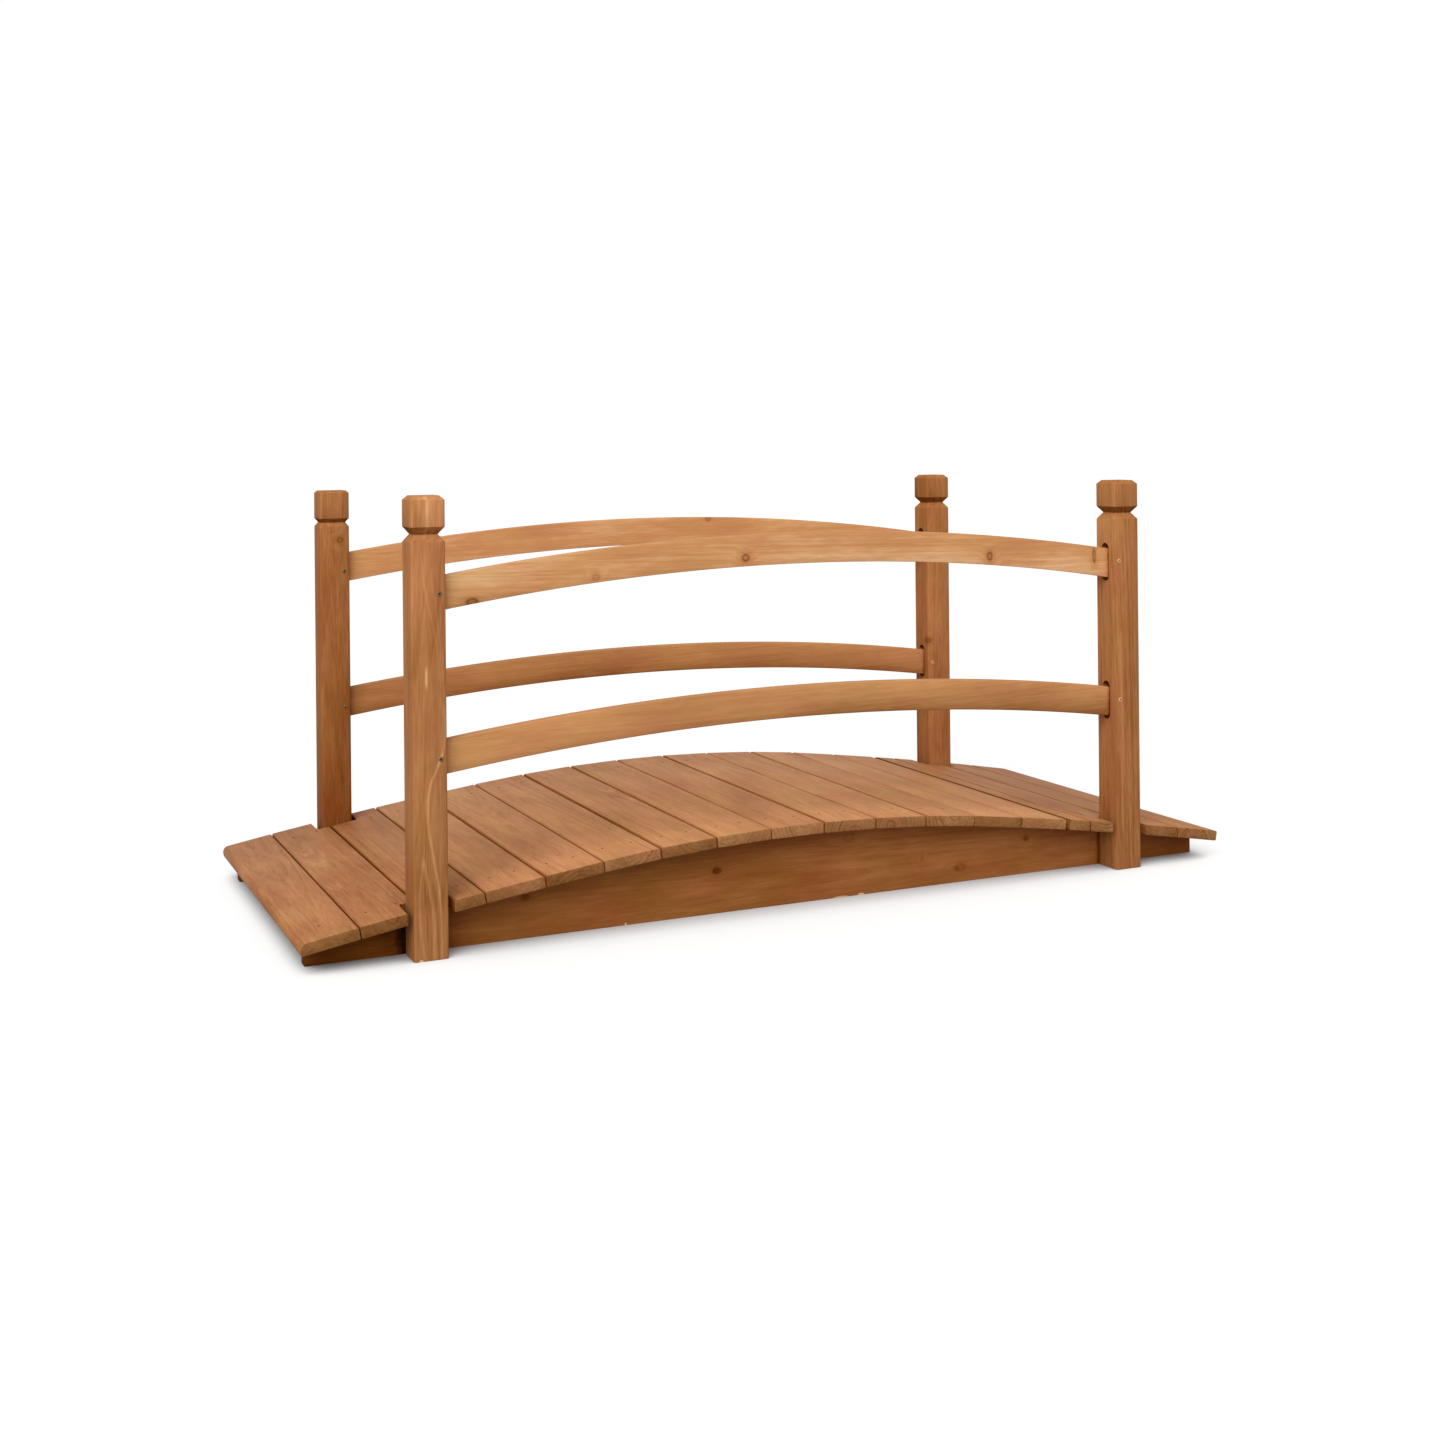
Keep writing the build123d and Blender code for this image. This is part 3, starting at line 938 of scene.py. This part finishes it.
class BRIDGE_OT_rails(bpy.types.Operator):
    """Saw the four bowed handrails"""

    bl_idname = "bridge.rails"
    bl_label = "Handrails"

    def execute(self, context):
        sizes, material, draw = begin(context, "rails")
        for row, tones in RAIL_TONES.items():
            node = row + "_rail"
            low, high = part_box(node)
            rail = self.saw(node + "_bar", low, high, sizes)
            ease(rail, sizes.rail_edge)
            tidy_shell(rail)
            bow = self.bow(low, high, sizes)
            lay_grain(
                rail, (low + high) / 2, RIGHT, UP, draw_log(draw, *RAIL_LOG, either_side=False),
                lambda along, point: self.tone(along, point, tones, bow, sizes), lambda normal: 0.0,
            )
            finish(rail, material, [node])
        return {"FINISHED"}

    def bow(self, low, high, sizes):
        """The middle of a rail's bow and the radius of its foot."""
        sag = high.z - sizes.rail_depth - low.z
        low_radius = (high.x ** 2 + sag ** 2) / (2 * sag)
        return Vector((0, 0, high.z - sizes.rail_depth - low_radius)), low_radius

    def tone(self, along, point, tones, bow, sizes):
        """Lighter to one end, with painted light and shade over the height towards the foot."""
        tone, slope, foot, foot_slope = tones
        centre, low_radius = bow
        height = (Vector((point.x, 0, point.z)) - centre).length - low_radius
        share = 1 - height / sizes.rail_depth
        return tone + slope * along + (foot + foot_slope * along) * share ** 2

    def saw(self, name, low, high, sizes):
        """Spin the rail's section about the middle of its bow and cut its ends upright."""
        centre, low_radius = self.bow(low, high, sizes)
        half_turn = math.asin((high.x + sizes.rail_depth) / low_radius)
        bottom = high.z - sizes.rail_depth
        rail = add_block(name, Vector((0, low.y, bottom)), Vector((sizes.rail_depth, high.y, high.z)))
        edit(rail)
        pick(rail, "VERT", lambda vertex: vertex.co.x > sizes.rail_depth / 2)
        bpy.ops.mesh.delete(type="VERT")
        pick_all()
        bpy.ops.mesh.delete(type="ONLY_FACE")
        pick_all()
        bpy.ops.mesh.subdivide(number_cuts=RAIL_CUTS)
        pick_all()
        bpy.ops.mesh.spin(steps=RAIL_STEPS, angle=half_turn, center=centre, axis=SPIN_AXIS)
        close()
        mirror(rail)
        edit(rail)
        for end in (low.x, high.x):
            pick_all()
            bpy.ops.mesh.bisect(
                plane_co=(end, 0, 0), plane_no=(1 if end > 0 else -1, 0, 0), use_fill=True, clear_outer=True
            )
        close()
        tidy_shell(rail)
        return rail


class BRIDGE_OT_posts(bpy.types.Operator):
    """Shape the four posts from square stock, with grooves, caps and mortises"""

    bl_idname = "bridge.posts"
    bl_label = "Posts"

    def execute(self, context):
        sizes, material, draw = begin(context, "posts")
        for corner, (tone, slope, left) in POST_TONES.items():
            node = corner + "_post"
            low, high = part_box(node)
            post = self.shape(node + "_square", low, high, corner == "back_left", sizes)
            side = corner.split("_")[0]
            for rail in ("upper", "lower"):
                self.mortise(post, low, high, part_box(f"{side}_{rail}_rail"), sizes)
            lay_grain(
                post, (low + high) / 2, UP, RIGHT, draw_log(draw, *POST_LOG),
                lambda along, point: tone + slope * along, lambda normal: self.shade(normal, left),
            )
            finish(post, material, [node])
        return {"FINISHED"}

    def shade(self, normal, left):
        """Painted shade under the cap, painted light and shade on the left face by post, and a little paler
        upright edges.
        """
        if -FACING < normal.z < -GROOVE_FACING:
            return PAINTED_GROOVE_SHADE
        # Painted light and shade: how much lighter the left face is, by post
        if normal.x < -FACING:
            return left
        return EDGE_LIFT if min(abs(normal.x), abs(normal.y)) > LEANING else 0.0

    def shape(self, name, low, high, short, sizes):
        """Draw the shaft up through groove, cap and chamfer, then round its edges."""
        groove_depth = sizes.short_groove_depth if short else sizes.groove_depth
        groove_height = sizes.groove_height * groove_depth / sizes.groove_depth
        cap = sizes.short_cap_height if short else sizes.cap_height
        chamfer = sizes.short_cap_chamfer if short else sizes.cap_chamfer
        side = high.x - low.x
        shoulder = high.z - cap - groove_height
        levels = [
            (shoulder + groove_height / 2, side - 2 * groove_depth),
            (high.z - cap, side),
            (high.z - chamfer, side),
            (high.z, side - 2 * chamfer),
        ]
        post = add_block(name, low, Vector((high.x, high.y, shoulder)))
        middle = (low + high) / 2
        edit(post)
        pick(post, "FACE", lambda face: face.normal.z > FACING)
        height = shoulder
        width = side
        for level, level_width in levels:
            rise = level - height
            share = level_width / width
            bpy.ops.mesh.extrude_region_move(TRANSFORM_OT_translate={"value": (0, 0, rise)})
            bpy.ops.transform.resize(value=(share, share, 1), center_override=(middle.x, middle.y, level))
            height = level
            width = level_width
        pick(post, "EDGE", lambda edge: abs(edge.verts[0].co.z - edge.verts[1].co.z) > FACE_ROOM * MM)
        bpy.ops.mesh.bevel(offset=sizes.post_edge, segments=EDGE_FACETS, affect="EDGES")
        close()
        ease(post, sizes.post_corner, FINE_FACETS)
        return post

    def mortise(self, post, low, high, rail_box, sizes):
        """Sink a slot with round ends into the face that looks along the rail."""
        mouth = low.x if low.x > 0 else high.x
        height = rail_box[0].z + sizes.rail_depth / 2 + sizes.mortise_lift
        deselect()
        bpy.ops.mesh.primitive_cylinder_add(
            vertices=MORTISE_SIDES, radius=sizes.mortise_width / 2, depth=2 * sizes.mortise_depth,
            location=(mouth, (low.y + high.y) / 2, height), rotation=(0, math.pi / 2, 0),
        )
        cutter = bpy.context.object
        settle(cutter)
        straight = (sizes.mortise_height - sizes.mortise_width) / 2
        edit(cutter)
        for way in (1, -1):
            pick(cutter, "VERT", lambda vertex: (vertex.co.z - height) * way > FACE_ROOM * MM)
            bpy.ops.transform.translate(value=(0, 0, way * straight))
        close()
        cut(post, cutter)


class BRIDGE_OT_screws(bpy.types.Operator):
    """Drive the screws that hold the rails' ends in the posts"""

    bl_idname = "bridge.screws"
    bl_label = "Rail screws"

    def execute(self, context):
        sizes = context.scene.bridge_sizes
        colours = context.scene.bridge_colours
        materials = {
            "left": plated_steel(
                "Zinc-plated steel screws dulled by stain", colours.dull_zinc, metallic=0.25, roughness=0.42
            ),
            "right": plated_steel("Zinc-plated steel screws", colours.zinc, metallic=0.1, roughness=0.42),
        }
        model = self.shape(sizes)
        for end, material in materials.items():
            places = []
            for side in ("front", "back"):
                corner = f"{side}_{end}"
                low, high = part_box(corner + "_post")
                inset = SCREW_INSET * MM
                x = low.x + inset if low.x > 0 else high.x - inset
                for rail in ("upper", "lower"):
                    rail_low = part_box(f"{side}_{rail}_rail")[0]
                    height = rail_low.z + sizes.rail_depth / 2 + SCREW_LIFTS[corner] * MM
                    places.append(Matrix.Translation((x, low.y, height)))
            finish(copies(model, places, end + "_rail_screws"), material, [])
        bpy.data.objects.remove(model)
        return {"FINISHED"}

    def shape(self, sizes):
        """A head that looks along -Y, with a cross recess."""
        radius = sizes.screw_head / 2
        head = domed_head(radius, SCREW, (math.pi / 2, 0, 0))
        depth = radius * SCREW["height"] * SCREW["depth"]
        reach = radius * SCREW["reach"]
        arm = radius * SCREW["arm"]
        for x, z in ((reach, arm), (arm, reach)):
            cut(head, add_block("recess", Vector((-x, -depth, -z)), Vector((x, 0, z))))
        ease(head, radius * SCREW["edge"], FINE_FACETS)
        tidy_shell(head)
        return head


class BRIDGE_OT_nails(bpy.types.Operator):
    """Drive the nails that hold the planks on the stringers"""

    bl_idname = "bridge.nails"
    bl_label = "Plank nails"

    def execute(self, context):
        tint = context.scene.bridge_colours.nail
        material = plated_steel("Steel nails dulled by stain", tint, metallic=0.6, roughness=0.55)
        model = domed_head(context.scene.bridge_sizes.nail_head / 2, NAIL)
        draw = random.Random(SEEDS["nails"])
        stray_across, stray_along = NAIL_STRAY
        places = []
        for node in DECK_BOARDS:
            turn, low, high = plank_plan(node)
            offsets = NAIL_PAIR if high.x - low.x > NAIL_PAIR_WIDTH * MM else (0,)
            for side in (-1, 1):
                for offset in offsets:
                    stray = draw.uniform(-stray_across, stray_across)
                    x = (low.x + high.x) / 2 + offset * MM + stray * MM
                    y = side * (NAIL_LINE + draw.uniform(-stray_along, stray_along)) * MM
                    places.append(turn.to_4x4() @ Matrix.Translation((x, y, high.z)))
        finish(copies(model, places, "plank_nails"), material, [])
        bpy.data.objects.remove(model)
        return {"FINISHED"}


# Floor: its size in metres, how far above it a piece still shades it, in millimetres, how open to the sky
# it is where it is darkest and where it is white, and the glow that makes it white
FLOOR_SIZE = 400
SHADE_REACH = 300
SHADE_RANGE = (0.15, 0.6)
FLOOR_GLOW = 0.62

# Light: the walls' strength, and the lamp's place in metres, angles in degrees and strength
WALL_LIGHT = 0.55
LAMP_PLACE = (-1, -2, 3)
LAMP_TILT = 51
LAMP_TURN = -38
LAMP_SPREAD = 50
LAMP_STRENGTH = 2.5
WHITE = (1, 1, 1, 1)

# Camera: place in metres, angles in degrees, and its lens, with sizes in millimetres and sight in metres
CAMERA_PLACE = (-1.1306, -2.4883, 0.6524)
CAMERA_TURN = -24.433
CAMERA_ROLL = -0.537
LENS = {"lens": 44.72, "sensor_width": 36, "shift_y": -0.1955, "clip_end": 500}


def seen_by(tree, first, *others):
    """1 for rays of these kinds and 0 for the rest."""
    path = add_node(tree, "LightPath").outputs
    seen = path[f"Is {first} Ray"]
    for kind in others:
        seen = add_node(tree, "Math", seen, path[f"Is {kind} Ray"], operation="MAXIMUM").outputs[0]
    return seen


class BRIDGE_OT_stage(bpy.types.Operator):
    """Set the floor, the light and the camera"""

    bl_idname = "bridge.stage"
    bl_label = "Stage"

    def execute(self, context):
        self.floor(context.scene.bridge_colours)
        self.light(context.scene)
        self.camera(context.scene)
        context.scene.view_settings.view_transform = "Standard"
        return {"FINISHED"}

    def floor(self, colours):
        """A wide matt floor that shows white to the eye where nothing shades it."""
        deselect()
        bpy.ops.mesh.primitive_plane_add(size=FLOOR_SIZE)
        floor = bpy.context.object
        floor.name = "studio_floor"
        material, tree, shader = new_material("Matt studio paper")
        shader.inputs["Base Color"].default_value = colours.floor
        shader.inputs["Roughness"].default_value = 1.0
        shader.inputs["Specular IOR Level"].default_value = 0.0
        shown = seen_by(tree, "Camera", "Glossy", "Transmission")
        open_sky = add_node(tree, "AmbientOcclusion", inputs={"Distance": SHADE_REACH * MM}).outputs["AO"]
        glow = add_node(tree, "MapRange", open_sky, *SHADE_RANGE, 0.0, FLOOR_GLOW).outputs[0]
        lift = add_node(tree, "Math", shown, glow, operation="MULTIPLY").outputs[0]
        shader.inputs["Emission Color"].default_value = WHITE
        tree.links.new(lift, shader.inputs["Emission Strength"])
        floor.data.materials.append(material)
        floor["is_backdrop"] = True

    def light(self, scene):
        """White walls all round, and a broad lamp high in front."""
        world = bpy.data.worlds.new("White studio")
        world.use_nodes = True
        scene.world = world
        tree = world.node_tree
        shown = seen_by(tree, "Camera", "Transmission")
        strength = add_node(tree, "MapRange", shown, 0.0, 1.0, WALL_LIGHT, 1.0).outputs[0]
        background = tree.nodes["Background"]
        background.inputs["Color"].default_value = WHITE
        tree.links.new(strength, background.inputs["Strength"])
        deselect()
        turn = (math.radians(LAMP_TILT), 0, math.radians(LAMP_TURN))
        bpy.ops.object.light_add(type="SUN", location=LAMP_PLACE, rotation=turn)
        lamp = bpy.context.object
        lamp.name = "studio_lamp"
        lamp.data.energy = LAMP_STRENGTH
        lamp.data.angle = math.radians(LAMP_SPREAD)

    def camera(self, scene):
        """Stand where the picture was taken from."""
        lens = bpy.data.cameras.new("camera")
        for key, value in LENS.items():
            setattr(lens, key, value)
        camera = bpy.data.objects.new("camera", lens)
        scene.collection.objects.link(camera)
        place = Matrix.Translation(CAMERA_PLACE)
        turn = Matrix.Rotation(math.radians(CAMERA_TURN), 4, "Z")
        level = Matrix.Rotation(math.pi / 2, 4, "X")
        roll = Matrix.Rotation(math.radians(CAMERA_ROLL), 4, "Z")
        camera.matrix_world = place @ turn @ level @ roll
        scene.camera = camera


OPERATORS = [
    BRIDGE_OT_stringers,
    BRIDGE_OT_posts,
    BRIDGE_OT_rails,
    BRIDGE_OT_planks,
    BRIDGE_OT_screws,
    BRIDGE_OT_nails,
    BRIDGE_OT_stage,
]


class BRIDGE_PT_panel(bpy.types.Panel):
    """Builds the bridge piece by piece"""

    bl_idname = "BRIDGE_PT_panel"
    bl_label = "Arched garden bridge"
    bl_space_type = "VIEW_3D"
    bl_region_type = "UI"
    bl_category = "Bridge"

    def draw(self, context):
        for operator in OPERATORS:
            self.layout.operator(operator.bl_idname)


CLASSES = [BridgeSizes, BridgeColours, *OPERATORS, BRIDGE_PT_panel]


def register():
    """Make the operators, the panel and the properties known."""
    for each in CLASSES:
        bpy.utils.register_class(each)
    bpy.types.Scene.bridge_sizes = PointerProperty(type=BridgeSizes)
    bpy.types.Scene.bridge_colours = PointerProperty(type=BridgeColours)


def unregister():
    """Take them away again."""
    del bpy.types.Scene.bridge_colours
    del bpy.types.Scene.bridge_sizes
    for each in reversed(CLASSES):
        bpy.utils.unregister_class(each)


def main():
    """Build the bridge and its stage."""
    register()
    bpy.ops.bridge.stringers()
    bpy.ops.bridge.posts()
    bpy.ops.bridge.rails()
    bpy.ops.bridge.planks()
    bpy.ops.bridge.screws()
    bpy.ops.bridge.nails()
    bpy.ops.bridge.stage()
    boxes = {"cad": CAD_BOX, "visual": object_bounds()}
    {name: [list(corner) for corner in box] for name, box in boxes.items()}


if __name__ == "__main__":
    main()
